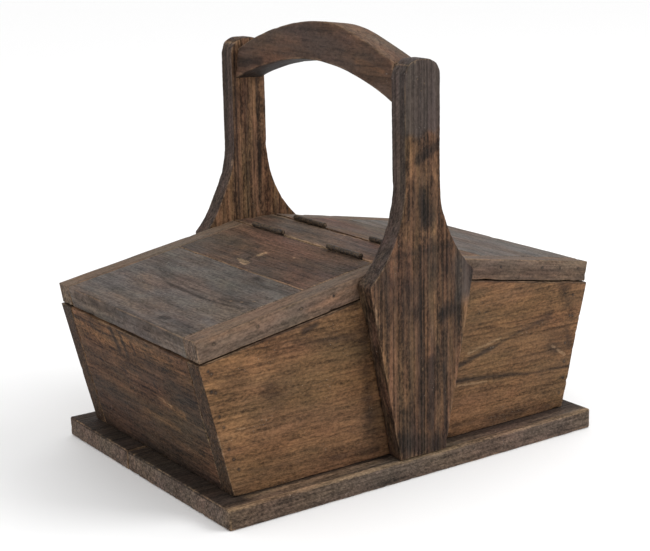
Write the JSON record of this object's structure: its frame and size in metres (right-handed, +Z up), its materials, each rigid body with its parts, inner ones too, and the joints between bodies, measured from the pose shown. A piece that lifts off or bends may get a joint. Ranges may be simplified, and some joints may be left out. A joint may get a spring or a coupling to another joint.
{
  "type": "kindling box",
  "caption": "Wooden kindling box with splay-ended walls, two hinged sloping lids on a central ridge and an arched carrying handle between shaped uprights.",
  "frame": {"origin": "on the floor under the middle of the box", "axes": "+X along the box to its right end, -Y towards the front, +Z up"},
  "size_m": [0.425, 0.288, 0.3854],
  "materials": {
    "dark_brown_wood": "dark stained, rough sawn edges, worn arrises",
    "warm_brown_wood": "stained, wavy figure, satin wax",
    "red_brown_wood": "stained, matt",
    "grey_brown_wood": "weathered grey-brown, matt",
    "striped_wood": "straight striped softwood grain with blackened patches",
    "blackened_steel": "blackened and dull"
  },
  "bodies": {
    "carcass": {"base_board_back": "dark_brown_wood", "base_board_front": "dark_brown_wood", "front_wall": "warm_brown_wood", "back_wall": "warm_brown_wood", "left_end_wall": "red_brown_wood", "right_end_wall": "red_brown_wood", "ridge_board": "red_brown_wood", "front_upright": "striped_wood", "back_upright": "striped_wood", "handle": "red_brown_wood", "handle_front_nail_1": "blackened_steel", "handle_front_nail_2": "blackened_steel", "handle_front_nail_3": "blackened_steel", "handle_front_nail_4": "blackened_steel", "handle_back_nail_1": "blackened_steel", "handle_back_nail_2": "blackened_steel", "handle_back_nail_3": "blackened_steel", "handle_back_nail_4": "blackened_steel", "left_front_hinge_fixed_leaf": "blackened_steel", "left_back_hinge_fixed_leaf": "blackened_steel", "right_front_hinge_fixed_leaf": "blackened_steel", "right_back_hinge_fixed_leaf": "blackened_steel", "left_front_hinge_pin": "blackened_steel", "left_back_hinge_pin": "blackened_steel", "right_front_hinge_pin": "blackened_steel", "right_back_hinge_pin": "blackened_steel"},
    "left_lid": {"left_lid_upper_board": "red_brown_wood", "left_lid_lower_board": "grey_brown_wood", "left_lid_front_rail": "grey_brown_wood", "left_lid_back_rail": "grey_brown_wood", "left_lid_front_rail_nail_1": "blackened_steel", "left_lid_front_rail_nail_2": "blackened_steel", "left_lid_front_rail_nail_3": "blackened_steel", "left_lid_front_rail_nail_4": "blackened_steel", "left_lid_back_rail_nail_1": "blackened_steel", "left_lid_back_rail_nail_2": "blackened_steel", "left_lid_back_rail_nail_3": "blackened_steel", "left_lid_back_rail_nail_4": "blackened_steel", "left_front_hinge_lid_leaf": "blackened_steel", "left_back_hinge_lid_leaf": "blackened_steel"},
    "right_lid": {"right_lid_upper_board": "red_brown_wood", "right_lid_lower_board": "grey_brown_wood", "right_lid_front_rail": "grey_brown_wood", "right_lid_back_rail": "grey_brown_wood", "right_lid_front_rail_nail_1": "blackened_steel", "right_lid_front_rail_nail_2": "blackened_steel", "right_lid_front_rail_nail_3": "blackened_steel", "right_lid_front_rail_nail_4": "blackened_steel", "right_lid_front_rail_nail_5": "blackened_steel", "right_lid_back_rail_nail_1": "blackened_steel", "right_lid_back_rail_nail_2": "blackened_steel", "right_lid_back_rail_nail_3": "blackened_steel", "right_lid_back_rail_nail_4": "blackened_steel", "right_lid_back_rail_nail_5": "blackened_steel", "right_front_hinge_lid_leaf": "blackened_steel", "right_back_hinge_lid_leaf": "blackened_steel"}
  },
  "joints": [
    {"name": "left_lid_hinge", "type": "hinge", "parent": "carcass", "child": "left_lid", "pos_m": [-0.0238, 0, 0.18983], "axis": [0, 1, 0], "range_deg": [0, 101.8]},
    {"name": "right_lid_hinge", "type": "hinge", "parent": "carcass", "child": "right_lid", "pos_m": [0.0238, 0, 0.18983], "axis": [0, -1, 0], "range_deg": [0, 101.2]}
  ]
}
